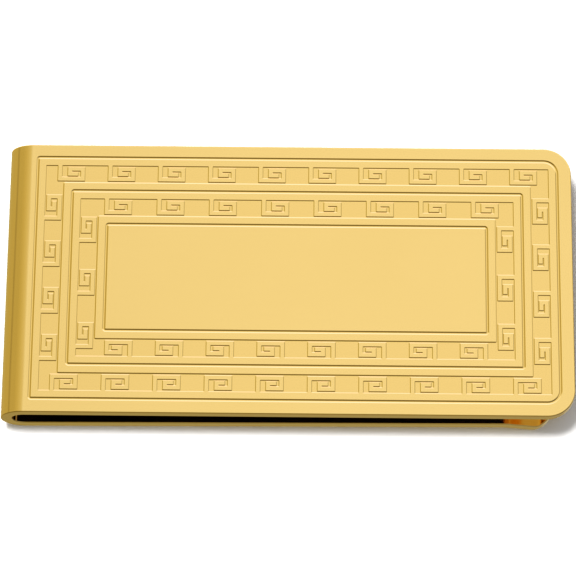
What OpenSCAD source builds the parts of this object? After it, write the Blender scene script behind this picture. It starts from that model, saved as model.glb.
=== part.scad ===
// Folded money clip: a patterned front plate, a half-round spring bend and a back leaf with a lip.
// Frame: X runs along the clip to its open end, Y across it, Z up through the front plate.
// The origin is under the middle of the clip, on the plane that the bend and the lip rest on.

/* [Clip] */
// Length over the bend and the front plate
clip_length = 51.1; // [46:0.1:60]
// Width of the strip
clip_width = 25.5; // [24:0.1:28]
// Height from the resting plane to the front face
clip_height = 4.3; // [3.6:0.1:5]
// Thickness of the sheet
sheet = 1.0; // [0.8:0.05:1.1]
// Radius of the front plate's corners at the open end
front_corner_r = 2.5; // [1:0.1:4]

/* [Back leaf] */
// Angle at which the leaf closes towards the front plate
leaf_slope = 1.08; // [0.5:0.01:1.2]
// How far the leaf stops short of the front plate's end
leaf_setback = 1.8; // [1.5:0.1:3]
// Distance from the front plate's end to the start of the lip
lip_setback = 6.4; // [6.2:0.1:8]
// Angle of the lip below the resting plane's direction
lip_flare = 15; // [12:0.5:20]
// Radius of the leaf's lower face where the lip turns down
lip_root_r = 1.5; // [1:0.1:2]
// Radius of the leaf's upper face where the lip levels out
lip_tip_r = 1.5; // [1:0.1:2]
// Radius of the leaf's corners at the lip
leaf_corner_r = 2; // [1:0.1:3]

/* [Coined border] */
// Depth of the sunk rings round the keys
relief = 0.04; // [0.03:0.01:0.1]
// Width of each engraved border line
line_w = 0.22; // [0.1:0.01:0.25]
// Depth of each engraved border line
line_depth = 0.05; // [0.03:0.01:0.1]
// Distance between neighbouring border lines
line_pitch = 3.22; // [3:0.01:3.3]
// Distance from the front plate's end to the outermost line
line_margin_end = 1.3; // [1:0.05:1.6]
// Distance from the bend's tip to the outermost line
line_margin_bend = 2.63; // [2.2:0.01:3]
// Distance across the clip between the two long outermost lines
line_span = 23; // [22.5:0.1:23.2]
// Corner radius of the outermost line at the open end
line_corner_r = 1.2; // [0.6:0.1:2]
// Width of the sunk ring that holds the keys
ring_w = 1.64; // [1.5:0.01:1.7]
// Flat between a border line and the ring inside it
ring_inset = 0.78; // [0.6:0.01:1]

/* [Keys] */
// Length of one key along its row
key_l = 2.47; // [2.3:0.01:2.8]
// Width of a key's bars that run across the row
key_bar_across = 0.4; // [0.3:0.01:0.45]
// Width of a key's bars that run along the row
key_bar_along = 0.41; // [0.38:0.01:0.44]
// Width of the channel between a key's outer bar and the flat outside the ring
key_margin = 0.12; // [0.1:0.01:0.14]
// Width of the channels between those bars
key_channel = 0.08; // [0.06:0.01:0.1]
// Width of the channel beside a key's own foot
key_foot_gap = 0.49; // [0.4:0.01:0.55]
// Width of the channel past the end of a key's inner bar
key_hook_gap = 0.22; // [0.15:0.01:0.3]

/* [Hidden] */
$fn = 96;
overlap = 1;
arc_steps = 12;

bend_r = clip_height / 2;
bend_x = -clip_length / 2 + bend_r;
end_x = clip_length / 2;
half_w = clip_width / 2;

leaf_end_x = end_x - leaf_setback;
lip_x = end_x - lip_setback;
leaf_flat = (lip_x - bend_x) / cos(leaf_slope);
// Direction of the leaf and of the lip in the side view, as [along X, up Z]
leaf_dir = [cos(leaf_slope), sin(leaf_slope)];
lip_dir = [cos(lip_flare), -sin(lip_flare)];

// Lower face of the leaf where it leaves the bend and where the lip's root starts
leaf_start = [bend_x, bend_r] + bend_r * [leaf_dir[1], -leaf_dir[0]];
root_start = leaf_start + leaf_flat * leaf_dir;
// Lip root, bent downwards, and lip tip, bent back to level on the resting plane
root_centre = root_start + lip_root_r * [leaf_dir[1], -leaf_dir[0]];
root_end = root_centre - lip_root_r * [lip_dir[1], -lip_dir[0]];
tip_outer_r = lip_tip_r + sheet;
tip_drop = tip_outer_r * (1 - cos(lip_flare));
lip_straight = (root_end[1] - tip_drop) / sin(lip_flare);
tip_centre = root_end + lip_straight * lip_dir - tip_outer_r * [lip_dir[1], -lip_dir[0]];

gold = "#e8bf5a";
leaf_gold = "#b8923c";

// One border line's rectangle: [left, right, near, far]
function line_box(i) = [
    -end_x + line_margin_bend + i * line_pitch,
    end_x - line_margin_end - i * line_pitch,
    -line_span / 2 + i * line_pitch,
    line_span / 2 - i * line_pitch
];

// The same rectangle moved in by a distance on every side
function inset_box(b, d) = [b[0] + d, b[1] - d, b[2] + d, b[3] - d];

// Key rows: [ring, side, number of keys, start of the first key, pitch]
// Positions run along X on the far and near sides, and along Y on the bend and end sides.
KEY_ROWS = [
    [0, "far", 10, -21.08, 4.56],
    [0, "near", 10, -21.15, 4.58],
    [0, "bend", 4, -7.96, 4.455],
    [0, "end", 4, -7.91, 4.446],
    [1, "far", 8, -16.74, 4.74],
    [1, "near", 8, -16.36, 4.53],
    [1, "bend", 3, -6.81, 5.045],
    [1, "end", 3, -6.61, 4.65]
];

// Outline of one key in its row: its foot joins the flat at v = 0 and its ribbon turns inwards
module key_shape() {
    foot = key_bar_across;
    inner = foot + key_foot_gap;
    top = key_margin;
    top_in = top + key_bar_along;
    mid = top_in + key_channel;
    mid_in = mid + key_bar_along;
    low = mid_in + key_channel;
    low_in = low + key_bar_along;
    right = key_l - key_bar_across;
    polygon([
        [0, -key_margin],
        [foot, -key_margin],
        [foot, low],
        [right, low],
        [right, top_in],
        [inner + key_bar_across, top_in],
        [inner + key_bar_across, mid],
        [right - key_hook_gap, mid],
        [right - key_hook_gap, mid_in],
        [inner, mid_in],
        [inner, top],
        [key_l, top],
        [key_l, low_in],
        [0, low_in]
    ]);
}

// Puts a key on one side of a ring, with its outline's v axis pointing across the ring
module place_key(ring, side, at) {
    box = inset_box(line_box(ring), ring_inset);
    if (side == "far")
        translate([at, box[3]]) mirror([0, 1]) key_shape();
    if (side == "near" && ring == 0)
        translate([at, box[2]]) key_shape();
    if (side == "near" && ring == 1)
        translate([at + key_l, box[2]]) mirror([1, 0]) key_shape();
    if (side == "bend")
        translate([box[0], at]) rotate(90) mirror([0, 1]) key_shape();
    if (side == "end")
        translate([box[1], at + key_l]) rotate(-90) mirror([0, 1]) key_shape();
}

module box_2d(b) {
    translate([b[0], b[2]]) square([b[1] - b[0], b[3] - b[2]]);
}

// Rectangle with its two corners at the open end rounded
module end_rounded(b, r) {
    translate([b[0], b[2]]) square([b[1] - b[0] - r, b[3] - b[2]]);
    translate([b[0], b[2] + r]) square([b[1] - b[0], b[3] - b[2] - 2 * r]);
    translate([b[1] - r, b[2] + r]) circle(r = r);
    translate([b[1] - r, b[3] - r]) circle(r = r);
}

// The three engraved lines
module border_lines() {
    difference() {
        end_rounded(inset_box(line_box(0), -line_w / 2), line_corner_r + line_w / 2);
        end_rounded(inset_box(line_box(0), line_w / 2), line_corner_r - line_w / 2);
    }
    for (i = [1, 2])
        difference() {
            box_2d(inset_box(line_box(i), -line_w / 2));
            box_2d(inset_box(line_box(i), line_w / 2));
        }
}

// The two sunk rings, less the keys that stand in them
module key_rings() {
    for (ring = [0, 1])
        difference() {
            box_2d(inset_box(line_box(ring), ring_inset));
            box_2d(inset_box(line_box(ring), ring_inset + ring_w));
            for (row = KEY_ROWS, i = [0 : row[2] - 1])
                if (row[0] == ring)
                    place_key(ring, row[1], row[3] + i * row[4]);
        }
}

// Flat front with its coined border
module front_plate() {
    color(gold)
    difference() {
        translate([0, 0, clip_height - sheet])
            linear_extrude(sheet)
                end_rounded([bend_x, end_x, -half_w, half_w], front_corner_r);
        translate([0, 0, clip_height - line_depth])
            linear_extrude(line_depth + overlap) border_lines();
        translate([0, 0, clip_height - relief])
            linear_extrude(relief + overlap) key_rings();
    }
}

// A stretch of the strip bent about an axis along Y: radii, start angle from +X and turn, in degrees
module strip_bend(r_in, start, turn) {
    rotate([90, -start, 0])
        translate([0, 0, -half_w])
            rotate_extrude(angle = turn)
                translate([r_in, 0]) square([sheet, clip_width]);
}

// Half-round fold that joins the front plate to the leaf
module spring_bend() {
    color(gold)
    translate([bend_x, 0, bend_r])
        strip_bend(bend_r - sheet, 90, 180 + leaf_slope);
}

// Points along an arc, from one angle to another, in degrees
function arc(centre, r, from, to) = [
    for (i = [0 : arc_steps])
        let (a = from + (to - from) * i / arc_steps)
            centre + r * [cos(a), sin(a)]
];

// Side view of the leaf: its lower face out to the lip's end, then its upper face back
module leaf_profile() {
    polygon(concat(
        [leaf_start],
        arc(root_centre, lip_root_r, 90 + leaf_slope, 90 - lip_flare),
        arc(tip_centre, tip_outer_r, -90 - lip_flare, -90),
        [[end_x, 0], [end_x, sheet]],
        arc(tip_centre, lip_tip_r, -90, -90 - lip_flare),
        arc(root_centre, lip_root_r + sheet, 90 - lip_flare, 90 + leaf_slope),
        [leaf_start + sheet * [-leaf_dir[1], leaf_dir[0]]]
    ));
}

// Plain back leaf with a flared lip and rounded corners
module spring_leaf() {
    color(leaf_gold)
    intersection() {
        rotate([90, 0, 0])
            linear_extrude(clip_width + overlap, center = true)
                leaf_profile();
        translate([0, 0, -overlap])
            linear_extrude(clip_height + overlap)
                end_rounded([bend_x - overlap, leaf_end_x, -half_w, half_w], leaf_corner_r);
    }
}

front_plate();
spring_bend();
spring_leaf();
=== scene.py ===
import math

import bpy
import numpy as np
from mathutils import Matrix, Vector, geometry


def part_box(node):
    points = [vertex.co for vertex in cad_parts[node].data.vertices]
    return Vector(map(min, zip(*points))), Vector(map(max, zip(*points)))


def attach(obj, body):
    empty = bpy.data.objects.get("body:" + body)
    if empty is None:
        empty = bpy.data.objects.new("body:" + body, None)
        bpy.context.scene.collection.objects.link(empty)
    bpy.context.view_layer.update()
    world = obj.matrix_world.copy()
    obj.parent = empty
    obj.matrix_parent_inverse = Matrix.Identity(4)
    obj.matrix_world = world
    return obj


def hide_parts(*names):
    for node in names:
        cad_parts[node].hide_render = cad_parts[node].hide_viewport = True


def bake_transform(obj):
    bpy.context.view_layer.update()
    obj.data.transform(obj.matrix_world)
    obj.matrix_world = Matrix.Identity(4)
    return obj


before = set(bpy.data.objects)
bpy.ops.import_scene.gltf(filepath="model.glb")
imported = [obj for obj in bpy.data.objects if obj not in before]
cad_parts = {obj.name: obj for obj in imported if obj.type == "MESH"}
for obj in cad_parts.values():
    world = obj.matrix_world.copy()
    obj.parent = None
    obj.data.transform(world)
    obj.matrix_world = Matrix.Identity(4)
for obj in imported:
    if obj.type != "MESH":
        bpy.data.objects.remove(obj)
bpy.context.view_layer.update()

MM = 0.001

# ---------------------------------------------------------------- sizes, in millimetres
plate_low, plate_high = (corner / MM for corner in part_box("front_plate"))
leaf_low, leaf_high = (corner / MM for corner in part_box("spring_leaf"))
BEND_X = plate_low.x
END_X = plate_high.x
HALF_W = plate_high.y
TOP = plate_high.z
SHEET = plate_high.z - plate_low.z
BEND_R = TOP / 2
TIP_X = BEND_X - BEND_R
LEAF_END_X = leaf_high.x

# Side view of the leaf and its lip
LEAF_SLOPE = math.radians(1.08)
LIP_FLARE = math.radians(15)
LIP_SETBACK = 6.4
LIP_ROOT_R = 1.5
LIP_TIP_R = 1.5
FRONT_CORNER_R = 2.5
LEAF_CORNER_R = 2.0
EDGE_R = 0.1

# Coined border
RELIEF = 0.04
WALL_W = 0.076
INNER_WALL_W = 0.11
GROOVE_W = 0.31
GROOVE_WALL_W = 0.11
GROOVE_DEPTH = 0.05
LINE_PITCH = 3.22
LINE_MARGIN_END = 1.3
LINE_MARGIN_BEND = 2.63
LINE_SPAN = 23.0
LINE_CORNER_R = 1.2
SQUARE_CORNER_R = 0.18
RING_W = 1.64
RING_INSET = 0.78

# One key of the border
KEY_L = 2.47
KEY_BAR_ACROSS = 0.4
KEY_BAR_ALONG = 0.41
KEY_MARGIN = 0.12
KEY_CHANNEL = 0.08
KEY_FOOT_GAP = 0.49
KEY_HOOK_GAP = 0.22
KEY_CORNER_R = 0.04

# Key rows: (ring, side, number of keys, start of the first key, pitch)
KEY_ROWS = [
    (0, "far", 10, -21.08, 4.56),
    (0, "near", 10, -21.15, 4.58),
    (0, "bend", 4, -7.96, 4.455),
    (0, "end", 4, -7.91, 4.446),
    (1, "far", 8, -16.74, 4.74),
    (1, "near", 8, -16.36, 4.53),
    (1, "bend", 3, -6.81, 5.045),
    (1, "end", 3, -6.61, 4.65),
]

# Gold, as red, green, blue and alpha, and the brightness of what the face reflects
PALE_GOLD = (0.987, 0.746, 0.325, 1)
DEEP_GOLD = (0.973, 0.734, 0.315, 1)
# Deeper gold painted into the bottoms of the coined relief as shade
RECESS_SHADE_GOLD = (0.93, 0.66, 0.24, 1)
# Paler gold painted on the rims as a sheen
RIM_SHEEN_GOLD = (0.99, 0.8, 0.42, 1)
FACE_LIGHT = 0.663

# Brightness of the other parts of the surroundings, and how it dims, as a factor
FOLD_LIGHT = 0.53
LOW_LIGHT = 0.41
BEHIND_LIGHT = 0.35
HORIZON_DIM = 0.78
FRONT_DIM = 0.3
END_DIM = 0.6

# Colours of the surroundings: dim on the bend's side, dim on the open end's side, and bright behind
WARM_LIGHT = (1, 0.91, 0.5, 1)
PALE_LIGHT = (1, 0.97, 0.85, 1)
COOL_LIGHT = (0.9, 0.9, 1.3, 1)
WHITE_LIGHT = (1, 1, 1, 1)

# Number of steps in each curve of the meshes
CORNER_STEPS = 3
GROOVE_CORNER_STEPS = 8
WALL_STEPS = 4
ARC_STEPS = 14
RIM_STEPS = 5
FOLD_STEPS = 72
FLAT_STEPS = 24
LIP_ROOT_STEPS = 12
LIP_STRAIGHT_STEPS = 4
LIP_TIP_STEPS = 14


# ---------------------------------------------------------------- the strip's side view
def right_of(angle):
    """Unit vector to the right of a heading, in the XZ plane."""
    return np.array([math.sin(angle), -math.cos(angle)])


class StripPath:
    """The outer face of the strip in the side view, from the front plate round the bend to the lip.

    Distance 0 is where the front plate meets the bend, and it grows towards the lip."""

    def __init__(self):
        self.stretches = []
        self.point = np.array([BEND_X, TOP])
        self.heading = math.pi
        self.length = 0.0

    def add(self, length, turn=0.0):
        curvature = turn / length
        self.stretches.append((self.length, self.point, self.heading, curvature))
        self.point, self.heading = self.along(self.stretches[-1], length)
        self.length += length

    @staticmethod
    def along(stretch, distance):
        _, point, heading, curvature = stretch
        new_heading = heading + curvature * distance
        if abs(curvature) < 1e-9:
            step = distance * np.array([math.cos(heading), math.sin(heading)])
        else:
            step = np.array([
                math.sin(new_heading) - math.sin(heading),
                math.cos(heading) - math.cos(new_heading),
            ]) / curvature
        return point + step, new_heading

    def at(self, distance):
        """The outer face's point and heading at a distance."""
        stretch = self.stretches[0]
        for candidate in self.stretches:
            if candidate[0] <= distance + 1e-9:
                stretch = candidate
        return self.along(stretch, distance - stretch[0])

    def place(self, distance, y, depth):
        """Point at a distance along the strip and a depth below its outer face."""
        point, heading = self.at(distance)
        x, z = point - right_of(heading) * depth
        return (x, y, z)

    def direction(self, distance, along, across, outward):
        """Unit vector with those parts along the strip, across it and out of its outer face."""
        heading = self.at(distance)[1]
        travel = np.array([math.cos(heading), math.sin(heading)])
        x, z = travel * along + right_of(heading) * outward
        return tuple(Vector((x, across, z)).normalized())


def leaf_lengths():
    """Length along the outer face of the leaf's flat, the lip's root, straight and tip, and its end."""
    tip_outer_r = LIP_TIP_R + SHEET
    lip_turn = LIP_FLARE + LEAF_SLOPE
    flat = (END_X - LIP_SETBACK - BEND_X) / math.cos(LEAF_SLOPE)
    start_z = BEND_R * (1 - math.cos(LEAF_SLOPE))
    root_end_z = (start_z + flat * math.sin(LEAF_SLOPE)
                  - LIP_ROOT_R * (math.cos(LEAF_SLOPE) - math.cos(LIP_FLARE)))
    straight = (root_end_z - tip_outer_r * (1 - math.cos(LIP_FLARE))) / math.sin(LIP_FLARE)
    return flat, LIP_ROOT_R * lip_turn, straight, tip_outer_r * LIP_FLARE


def build_path():
    path = StripPath()
    bend_turn = math.pi + LEAF_SLOPE
    flat, root, straight, tip = leaf_lengths()
    path.add(BEND_R * bend_turn, bend_turn)
    path.bend_length = path.length
    path.add(flat)
    path.add(root, -(LIP_FLARE + LEAF_SLOPE))
    path.add(straight)
    path.add(tip, LIP_FLARE)
    path.add(LEAF_END_X - path.point[0])
    return path


class PlatePath(StripPath):
    """The flat front plate, seen as a strip that starts at the bend and runs to the open end."""

    def __init__(self):
        super().__init__()
        self.add(END_X - BEND_X)

    def place(self, distance, y, depth):
        return (BEND_X + distance, y, TOP - depth)

    def direction(self, distance, along, across, outward):
        return tuple(Vector((along, across, outward)).normalized())


# ---------------------------------------------------------------- mesh building
class Skin:
    """Collects points with their normals, and faces, and turns them into a mesh in metres."""

    def __init__(self):
        self.points = []
        self.normals = []
        self.faces = []
        self.face_normals = []

    def add(self, point, normal):
        self.points.append(tuple(point))
        self.normals.append(tuple(normal))
        return len(self.points) - 1

    def face(self, corners, normal=None):
        """A face; with a normal it is flat, and without one it is shaded smoothly by its points."""
        self.faces.append(tuple(corners))
        self.face_normals.append(normal)

    def strip(self, first, second, closed=False, flip=False):
        """Quads between two rows of points with the same count."""
        count = len(first)
        for i in range(count if closed else count - 1):
            j = (i + 1) % count
            quad = (first[i], first[j], second[j], second[i])
            self.face(quad[::-1] if flip else quad)

    def build(self, name):
        mesh = bpy.data.meshes.new(name)
        mesh.from_pydata([Vector(p) * MM for p in self.points], [], self.faces)
        mesh.polygons.foreach_set("use_smooth", [True] * len(self.faces))
        corner_normals = []
        for corners, normal in zip(self.faces, self.face_normals):
            corner_normals += [normal or self.normals[c] for c in corners]
        mesh.validate()
        mesh.normals_split_custom_set(corner_normals)
        piece = bpy.data.objects.new(name, mesh)
        bpy.context.scene.collection.objects.link(piece)
        return piece


def rim_profile():
    """Edge of the sheet from its outer face to its inner one: (inset, depth, sideways, outward)."""
    profile = []
    for step in range(RIM_STEPS + 1):
        a = math.pi / 2 * step / RIM_STEPS
        profile.append((EDGE_R * (1 - math.sin(a)), EDGE_R * (1 - math.cos(a)),
                        math.sin(a), math.cos(a)))
    for step in range(RIM_STEPS + 1):
        a = math.pi / 2 * step / RIM_STEPS
        profile.append((EDGE_R * (1 - math.cos(a)), SHEET - EDGE_R * (1 - math.sin(a)),
                        math.cos(a), -math.sin(a)))
    return profile


def plan_rows(start, distances, end, corner_r):
    """Rows across the strip: (distance, half width, rim normal along, rim normal across).

    With an end, the two corners there are rounded; without one, the strip is cut square."""
    rows = [(d, HALF_W, 0.0, 1.0) for d in [start] + distances]
    if end is None:
        return rows
    for step in range(ARC_STEPS + 1):
        a = math.pi / 2 * step / ARC_STEPS
        rows.append((end - corner_r + corner_r * math.sin(a),
                     HALF_W - corner_r + corner_r * math.cos(a), math.sin(a), math.cos(a)))
    return rows


def sheet_body(skin, path, rows, has_end, outer_face=True, flip=False):
    """A stretch of the strip with rounded edges. Returns its outer face's near and far points."""
    near, far = [], []
    for inset, depth, sideways, outward in rim_profile():
        for side, rim in ((-1, near), (1, far)):
            loop = []
            for distance, half, along, across in rows:
                d = distance - along * inset
                y = side * (half - across * inset)
                normal = path.direction(d, along * sideways, side * across * sideways, outward)
                loop.append(skin.add(path.place(d, y, depth), normal))
            rim.append(loop)
    for k in range(len(near) - 1):
        skin.strip(near[k], near[k + 1], flip=not flip)
        skin.strip(far[k], far[k + 1], flip=flip)
        if has_end:
            quad = (near[k][-1], far[k][-1], far[k + 1][-1], near[k + 1][-1])
            skin.face(quad if flip else quad[::-1])
    if outer_face:
        skin.strip(near[0], far[0], flip=flip)
    skin.strip(near[-1], far[-1], flip=not flip)
    cap(skin, path, near, far, 0, rows[0][0], -1, flip)
    if not has_end:
        cap(skin, path, near, far, -1, rows[-1][0], 1, not flip)
    return near[0], far[0]


def cap(skin, path, near, far, row, distance, facing, flip):
    """Flat face that closes the strip where it is cut."""
    outline = [loop[row] for loop in near] + [loop[row] for loop in reversed(far)]
    normal = path.direction(distance, facing, 0, 0)
    skin.face(outline if flip else outline[::-1], normal)


# ---------------------------------------------------------------- outlines with parallel offsets
def parallel(corners, offset, steps):
    """Closed outline of (x, y, radius) corners, moved to its left: points and their left normals.

    Every corner is an arc about one centre whatever the offset, so outlines match point by point."""
    points, lefts = [], []
    count = len(corners)
    for i in range(count):
        here = np.array(corners[i][:2])
        radius = corners[i][2]
        before = here - np.array(corners[i - 1][:2])
        after = np.array(corners[(i + 1) % count][:2]) - here
        before /= np.linalg.norm(before)
        after /= np.linalg.norm(after)
        turn = math.copysign(1, before[0] * after[1] - before[1] * after[0])
        left_before = np.array([-before[1], before[0]])
        left_after = np.array([-after[1], after[0]])
        centre = here + turn * radius * (left_before + left_after)
        arc_r = radius - turn * offset
        for step in range(steps + 1):
            a = math.pi / 2 * step / steps
            left = left_before * math.cos(a) + left_after * math.sin(a)
            points.append(centre - turn * arc_r * left)
            lefts.append(left)
    return points, lefts


def border_box(line, inset=0.0):
    """Left, right, near and far of a border line's rectangle, moved in by an inset."""
    margin = line * LINE_PITCH + inset
    return (TIP_X + LINE_MARGIN_BEND + margin, END_X - LINE_MARGIN_END - margin,
            -LINE_SPAN / 2 + margin, LINE_SPAN / 2 - margin)


def rectangle(box, square_r, end_r=None):
    """Corners of a rectangle, anticlockwise from above; end_r rounds the two at the open end."""
    left, right, near, far = box
    end_r = end_r or square_r
    return [(left, near, square_r), (right, near, end_r),
            (right, far, end_r), (left, far, square_r)]


def key_outline():
    """A key's outline from one side of its foot round the ribbon to the other: (along, inwards)."""
    foot = KEY_BAR_ACROSS
    inner = foot + KEY_FOOT_GAP
    top = KEY_MARGIN
    top_in = top + KEY_BAR_ALONG
    mid = top_in + KEY_CHANNEL
    mid_in = mid + KEY_BAR_ALONG
    low = mid_in + KEY_CHANNEL
    low_in = low + KEY_BAR_ALONG
    right = KEY_L - KEY_BAR_ACROSS
    return [(0, 0), (0, low_in), (KEY_L, low_in), (KEY_L, top), (inner, top), (inner, mid_in),
            (right - KEY_HOOK_GAP, mid_in), (right - KEY_HOOK_GAP, mid),
            (inner + KEY_BAR_ACROSS, mid), (inner + KEY_BAR_ACROSS, top_in),
            (right, top_in), (right, low), (foot, low), (foot, 0)]


def ring_outline(ring):
    """Outer outline of a sunk ring, with its keys standing in from it, anticlockwise."""
    left, right, near, far = border_box(ring, RING_INSET)
    sides = {
        "near": ((left, near), (1, 0)),
        "end": ((right, near), (0, 1)),
        "far": ((right, far), (-1, 0)),
        "bend": ((left, far), (0, -1)),
    }
    corners = []
    for side, (start, direction) in sides.items():
        start, direction = np.array(start), np.array(direction)
        inwards = np.array([-direction[1], direction[0]])
        corners.append((*start, KEY_CORNER_R))
        keys = [first + i * pitch
                for row_ring, row_side, count, first, pitch in KEY_ROWS
                if (row_ring, row_side) == (ring, side)
                for i in range(count)]
        forward = direction.sum() > 0
        origin = start @ np.abs(direction)
        foot_first = (ring, side) == (0, "near")
        for at in (keys if forward else reversed(keys)):
            offset = at - origin if forward else origin - at - KEY_L
            outline = key_outline()
            if not foot_first:
                outline = [(KEY_L - u, v) for u, v in reversed(outline)]
            corners += [(*(start + direction * (offset + u) + inwards * v), KEY_CORNER_R)
                        for u, v in outline]
    return corners


# ---------------------------------------------------------------- relief of the front plate
def ramp_down(t):
    """Fall from 0 at t = -1 to 1 at t = 1, with softened ends, and its slope."""
    fall = 0.5 + 0.3 * t + 0.2 * math.sin(math.pi / 2 * t)
    slope = 0.3 + 0.1 * math.pi * math.cos(math.pi / 2 * t)
    return fall, slope


def wall_section(width):
    """Section of a coined wall from its top to its foot: (offset, height, slope)."""
    section = []
    for k in range(WALL_STEPS + 1):
        t = -1 + 2 * k / WALL_STEPS
        fall, slope = ramp_down(t)
        section.append((t * width / 2, -RELIEF * fall, -RELIEF * slope / (width / 2)))
    return section


def groove_section():
    """Section of an engraved line with a flat bottom: (offset, height, slope)."""
    middle = (GROOVE_W - GROOVE_WALL_W) / 2
    section = []
    for side in (-1, 1):
        for k in range(WALL_STEPS + 1):
            t = -1 + 2 * k / WALL_STEPS
            fall, slope = ramp_down(-side * t)
            steepness = side * GROOVE_DEPTH * slope / (GROOVE_WALL_W / 2)
            section.append((side * middle + t * GROOVE_WALL_W / 2, -GROOVE_DEPTH * fall, steepness))
    return section


def relief_band(skin, corners, section, steps):
    """Band of relief along a closed outline. Returns the loops at its right and its left."""
    loops = []
    for offset, height, slope in section:
        points, lefts = parallel(corners, offset, steps)
        loop = []
        for p, m in zip(points, lefts):
            normal = Vector((-slope * m[0], -slope * m[1], 1)).normalized()
            loop.append(skin.add((p[0], p[1], TOP + height), normal))
        loops.append(loop)
    for first, second in zip(loops, loops[1:]):
        skin.strip(first, second, closed=True)
    return loops[0], loops[-1]


def inside(points, loops):
    """Even-odd test of points against closed loops of points."""
    result = np.zeros(len(points), bool)
    for loop in loops:
        a = np.array(loop)
        b = np.roll(a, -1, axis=0)
        for (ax, ay), (bx, by) in zip(a, b):
            crosses = (ay > points[:, 1]) != (by > points[:, 1])
            if not crosses.any():
                continue
            x = ax + (points[:, 1] - ay) * (bx - ax) / (by - ay)
            result ^= crosses & (points[:, 0] < x)
    return result


def flat_zone(skin, loops):
    """Level face between closed loops of points that are already in the skin."""
    indices = [i for loop in loops for i in loop]
    plan = [Vector(skin.points[i][:2]) for i in indices]
    edges = []
    start = 0
    for loop in loops:
        edges += [(start + i, start + (i + 1) % len(loop)) for i in range(len(loop))]
        start += len(loop)
    found = geometry.delaunay_2d_cdt(plan, edges, [], 0, 1e-7)
    source = [indices[origin[0]] for origin in found[3]]
    triangles = [tuple(source[v] for v in face) for face in found[2]]
    corners = np.array([[skin.points[i][:2] for i in t] for t in triangles])
    outlines = [[skin.points[i][:2] for i in loop] for loop in loops]
    for triangle, kept in zip(triangles, inside(corners.mean(axis=1), outlines)):
        if kept:
            skin.face(triangle, (0, 0, 1))


def front_plate_piece():
    """Front plate with its coined border and rounded edges."""
    skin = Skin()
    path = PlatePath()
    rows = plan_rows(0.0, [], END_X - BEND_X, FRONT_CORNER_R)
    near, far = sheet_body(skin, path, rows, has_end=True, outer_face=False)
    outside = near + far[::-1]
    for line in range(3):
        end_r = LINE_CORNER_R if line == 0 else None
        groove = rectangle(border_box(line), SQUARE_CORNER_R, end_r)
        groove_out, groove_in = relief_band(skin, groove, groove_section(),
                                            GROOVE_CORNER_STEPS)
        flat_zone(skin, [outside, groove_out])
        outside = groove_in
        if line == 2:
            continue
        band_out, floor_out = relief_band(skin, ring_outline(line), wall_section(WALL_W),
                                          CORNER_STEPS)
        flat_zone(skin, [outside, band_out])
        inner = rectangle(border_box(line, RING_INSET + RING_W), INNER_WALL_W)[::-1]
        band_in, floor_in = relief_band(skin, inner, wall_section(INNER_WALL_W), CORNER_STEPS)
        flat_zone(skin, [floor_out, floor_in])
        outside = band_in
    flat_zone(skin, [outside])
    return skin.build("front_plate_coined")


def spring_bend_piece(path):
    """Half-round fold."""
    skin = Skin()
    distances = [path.bend_length * i / FOLD_STEPS for i in range(1, FOLD_STEPS + 1)]
    sheet_body(skin, path, plan_rows(0.0, distances, None, 0), has_end=False, flip=True)
    return skin.build("spring_bend_fold")


def spring_leaf_piece(path):
    """Back leaf with its flared lip."""
    skin = Skin()
    flat, root, straight, tip = leaf_lengths()
    start = path.bend_length
    corner_start = path.length - LEAF_CORNER_R
    stops = [(flat, FLAT_STEPS), (root, LIP_ROOT_STEPS),
             (straight, LIP_STRAIGHT_STEPS), (tip, LIP_TIP_STEPS)]
    distances = []
    here = start
    for length, steps in stops:
        distances += [here + length * i / steps for i in range(1, steps + 1)]
        here += length
    distances = [d for d in distances if d < corner_start - 0.01]
    rows = plan_rows(start, distances, path.length, LEAF_CORNER_R)
    sheet_body(skin, path, rows, has_end=True, flip=True)
    return skin.build("spring_leaf_lip")


# ---------------------------------------------------------------- material
class NodeMaker:
    """Short calls for the shader nodes used below."""

    def __init__(self, tree):
        self.tree = tree

    def add(self, kind, **settings):
        node = self.tree.nodes.new(kind)
        for key, value in settings.items():
            setattr(node, key, value)
        return node

    def plug(self, socket, value):
        if isinstance(value, bpy.types.NodeSocket):
            self.tree.links.new(value, socket)
        else:
            socket.default_value = value

    def math(self, operation, *values):
        node = self.add("ShaderNodeMath", operation=operation)
        for socket, value in zip(node.inputs, values):
            self.plug(socket, value)
        return node.outputs[0]

    def ramp(self, value, start, end, low, high, kind="SMOOTHSTEP"):
        """Low up to start, high from end on, and a smooth or a linear change between them."""
        node = self.add("ShaderNodeMapRange", interpolation_type=kind)
        for socket, number in zip(node.inputs, (value, start, end, low, high)):
            self.plug(socket, number)
        return node.outputs[0]

    def mix(self, factor, first, second):
        """Colour between two colours; the Mix node's colour sockets are 6, 7 and output 2."""
        node = self.add("ShaderNodeMix", data_type="RGBA")
        self.plug(node.inputs[0], factor)
        self.plug(node.inputs[6], first)
        self.plug(node.inputs[7], second)
        return node.outputs[2]

    def noise(self, place, stretch, scale, detail=2.0):
        """Soft noise about 0.5; stretch divides the size of its grain along each axis."""
        mapping = self.add("ShaderNodeMapping")
        self.plug(mapping.inputs["Vector"], place)
        self.plug(mapping.inputs["Scale"], stretch)
        node = self.add("ShaderNodeTexNoise")
        self.plug(node.inputs["Vector"], mapping.outputs[0])
        self.plug(node.inputs["Scale"], scale)
        self.plug(node.inputs["Detail"], detail)
        return node.outputs[0]

    def axes(self, vector):
        node = self.add("ShaderNodeSeparateXYZ")
        self.plug(node.inputs[0], vector)
        return node.outputs


def rim_sheen_and_wear(make, place):
    """1 on the rounded rims along the strip's two sides, 0 elsewhere, broken up by noise: where a paler
    gold is painted as a sheen and the surface is made rougher as rubbed wear.
    """
    side = make.math("ABSOLUTE", make.axes(place)[1])
    rim = make.ramp(side, (HALF_W - 2 * EDGE_R) * MM, HALF_W * MM, 0, 1)
    patches = make.ramp(make.noise(place, (1, 1, 1), 700), 0.35, 0.65, 0.3, 1)
    return make.math("MULTIPLY", rim, patches)


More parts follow.
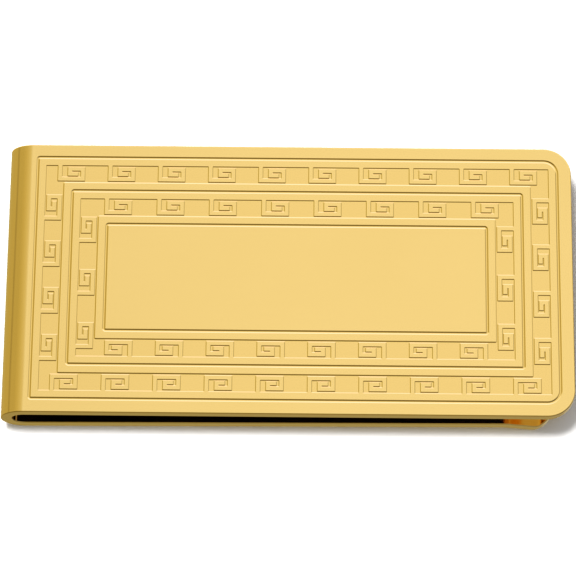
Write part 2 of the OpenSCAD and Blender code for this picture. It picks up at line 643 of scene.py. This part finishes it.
def recess_painted_shade(make, place):
    """1 at the bottom of the coined relief and 0 on the face of the plate: where a deeper gold is
    painted as shade.
    """
    height = make.axes(place)[2]
    below = make.ramp(height, (TOP - GROOVE_DEPTH) * MM, (TOP - RELIEF / 4) * MM, 1, 0)
    on_plate = make.ramp(height, (TOP - 4 * GROOVE_DEPTH) * MM, (TOP - 2 * GROOVE_DEPTH) * MM, 0, 1)
    off_fold = make.ramp(make.axes(place)[0], BEND_X * MM, (BEND_X + 0.1) * MM, 0, 1)
    return make.math("MULTIPLY", make.math("MULTIPLY", below, on_plate), off_fold)


def fold_creases(make, place):
    """Fine creases across the strip, only where it is folded."""
    on_fold = make.ramp(make.axes(place)[0], (BEND_X - 0.3) * MM, (BEND_X + 0.3) * MM, 1, 0)
    streaks = make.noise(place, (12, 1, 12), 280, 3.0)
    return make.math("MULTIPLY", on_fold, streaks)


def gold_material():
    """Polished gold plate: cloudy tone, polishing lines along the strip, creased fold, painted shade in
    the relief's recesses, and rims with a painted paler sheen and rougher wear.
    """
    material = bpy.data.materials.new("polished_gold")
    material.use_nodes = True
    make = NodeMaker(material.node_tree)
    shader = material.node_tree.nodes["Principled BSDF"]
    shader.inputs["Metallic"].default_value = 1.0
    place = make.add("ShaderNodeTexCoord").outputs["Object"]
    clouds = make.noise(place, (1, 1, 1), 75, 3.0)
    lines = make.noise(place, (1, 30, 30), 220, 2.0)
    sheen_and_wear = rim_sheen_and_wear(make, place)
    creases = fold_creases(make, place)

    tone = make.mix(make.ramp(clouds, 0.3, 0.7, 0, 1), DEEP_GOLD, PALE_GOLD)
    # Painted shade: a deeper gold mixed into the bottoms of the relief
    tone = make.mix(make.math("MULTIPLY", recess_painted_shade(make, place), 0.3), tone, RECESS_SHADE_GOLD)
    # Painted highlight: a paler gold on the side rims as a sheen; the same mask also makes the rims
    # rougher
    tone = make.mix(make.math("MULTIPLY", sheen_and_wear, 0.4), tone, RIM_SHEEN_GOLD)
    make.plug(shader.inputs["Base Color"], tone)

    rough = make.math("ADD", make.ramp(clouds, 0.3, 0.7, 0.06, 0.1), make.ramp(lines, 0.3, 0.7, 0, 0.04))
    rough = make.math("ADD", rough, make.math("MULTIPLY", sheen_and_wear, 0.12))
    make.plug(shader.inputs["Roughness"], rough)

    height = make.math("ADD", make.math("MULTIPLY", lines, 0.06), make.math("MULTIPLY", creases, 1.0))
    bump = make.add("ShaderNodeBump")
    bump.inputs["Strength"].default_value = 0.35
    bump.inputs["Distance"].default_value = 0.00001
    make.plug(bump.inputs["Height"], height)
    make.plug(shader.inputs["Normal"], bump.outputs[0])
    return material


# ---------------------------------------------------------------- stage
def floor_piece():
    """Plain pale floor just under the clip; the gold mirrors the light tent in its place."""
    half = 3.0
    level = -0.02 * MM
    mesh = bpy.data.meshes.new("floor")
    mesh.from_pydata([(-half, -half, level), (half, -half, level),
                      (half, half, level), (-half, half, level)], [], [(0, 1, 2, 3)])
    floor = bpy.data.objects.new("floor", mesh)
    bpy.context.scene.collection.objects.link(floor)
    material = bpy.data.materials.new("floor_paper")
    material.use_nodes = True
    shader = material.node_tree.nodes["Principled BSDF"]
    shader.inputs["Base Color"].default_value = (0.86, 0.86, 0.86, 1)
    shader.inputs["Roughness"].default_value = 0.9
    shader.inputs["Specular IOR Level"].default_value = 0.1
    floor.data.materials.append(material)
    floor.visible_glossy = False


def soft_light(name, place, width, depth, radiance):
    """Rectangular softbox that points at the clip; radiance is its surface brightness."""
    light = bpy.data.lights.new(name, "AREA")
    light.shape = "RECTANGLE"
    light.size = width
    light.size_y = depth
    light.energy = radiance * math.pi * width * depth
    lamp = bpy.data.objects.new(name, light)
    bpy.context.scene.collection.objects.link(lamp)
    lamp.location = place
    lamp.rotation_euler = (-Vector(place)).to_track_quat("-Z", "Y").to_euler()
    return lamp


def light_tent():
    """Soft surroundings: white overhead, brightest low behind, dimmer and warmer to the other sides."""
    world = bpy.data.worlds.new("light_tent")
    bpy.context.scene.world = world
    world.use_nodes = True
    make = NodeMaker(world.node_tree)
    x, y, z = make.axes(make.add("ShaderNodeTexCoord").outputs["Generated"])
    overhead = make.math("ADD", make.ramp(x, -0.75, -0.28, LOW_LIGHT, FOLD_LIGHT, "LINEAR"),
                         make.ramp(x, -0.28, 0, 0, FACE_LIGHT - FOLD_LIGHT))
    below = make.ramp(z, 0.0, 0.12, 1, 0)
    level = make.math("MULTIPLY", overhead, make.ramp(z, 0.12, 0.3, HORIZON_DIM, 1))
    to_low = make.math("SUBTRACT", LOW_LIGHT, level)
    level = make.math("ADD", level, make.math("MULTIPLY", below, to_low))
    low_front = make.math("ADD", make.ramp(z, 0.35, 0.6, 0.55, 0), make.ramp(z, -0.85, -0.5, 0.2, 0))
    front = make.math("MAXIMUM", make.ramp(y, -0.35, 0.1, FRONT_DIM, 1), low_front)
    level = make.math("MULTIPLY", level, front)
    level = make.math("MULTIPLY", level, make.ramp(x, 0.35, 0.9, 1, END_DIM))
    behind = make.math("MULTIPLY", make.ramp(z, 0.45, 0.85, 1, 0), make.ramp(y, 0.35, 0.65, 0, 1))
    level = make.math("ADD", level, make.math("MULTIPLY", behind, BEHIND_LIGHT))
    background = world.node_tree.nodes["Background"]
    make.plug(background.inputs["Strength"], level)
    dim = make.mix(make.ramp(x, -0.3, 0.5, 0, 1), WARM_LIGHT, PALE_LIGHT)
    tint = make.mix(make.ramp(level, 0.42, FACE_LIGHT, 0, 1), dim, WHITE_LIGHT)
    tint = make.mix(make.ramp(level, 0.75, 0.95, 0, 1), tint, COOL_LIGHT)
    make.plug(background.inputs["Color"], tint)
    world.cycles_visibility.diffuse = False


def lighting():
    """The light tent, which only the gold shows, and two lamps that only the floor shows."""
    light_tent()
    key = soft_light("floor_key", (-0.12, 0.06, 0.6), 0.12, 0.12, 60.0)
    fill = soft_light("floor_fill", (0, 0, 1.0), 2.0, 2.0, 0.8)
    for lamp in (key, fill):
        lamp.visible_glossy = False
    bpy.context.scene.view_settings.view_transform = "Standard"
    bpy.context.scene.view_settings.look = "High Contrast"


def camera():
    """Camera above the near side, tilted a little, as the clip is seen in a product view."""
    azimuth, elevation, roll = (math.radians(a) for a in (1.0, 70.47, -0.425))
    distance = 0.2881
    aim = Vector((-0.00005, -0.00091, TOP * MM))
    away = Vector((math.sin(azimuth) * math.cos(elevation),
                   -math.cos(azimuth) * math.cos(elevation), math.sin(elevation)))
    data = bpy.data.cameras.new("camera")
    data.sensor_width = 36
    data.lens = 200.66
    data.clip_start = 0.01
    view = bpy.data.objects.new("camera", data)
    bpy.context.scene.collection.objects.link(view)
    view.location = aim + away * distance
    turn = (-away).to_track_quat("-Z", "Y").to_matrix().to_4x4()
    view.matrix_world = Matrix.Translation(view.location) @ turn @ Matrix.Rotation(roll, 4, "Z")
    bpy.context.scene.camera = view


def main():
    camera()
    path = build_path()
    gold = gold_material()
    plate = front_plate_piece()
    bend = spring_bend_piece(path)
    leaf = spring_leaf_piece(path)
    for piece in (plate, bend, leaf):
        piece.data.materials.append(gold)
    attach(plate, "front")
    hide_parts("front_plate")
    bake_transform(bend)
    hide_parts("spring_bend")
    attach(leaf, "leaf")
    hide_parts("spring_leaf")
    floor_piece()
    lighting()


main()
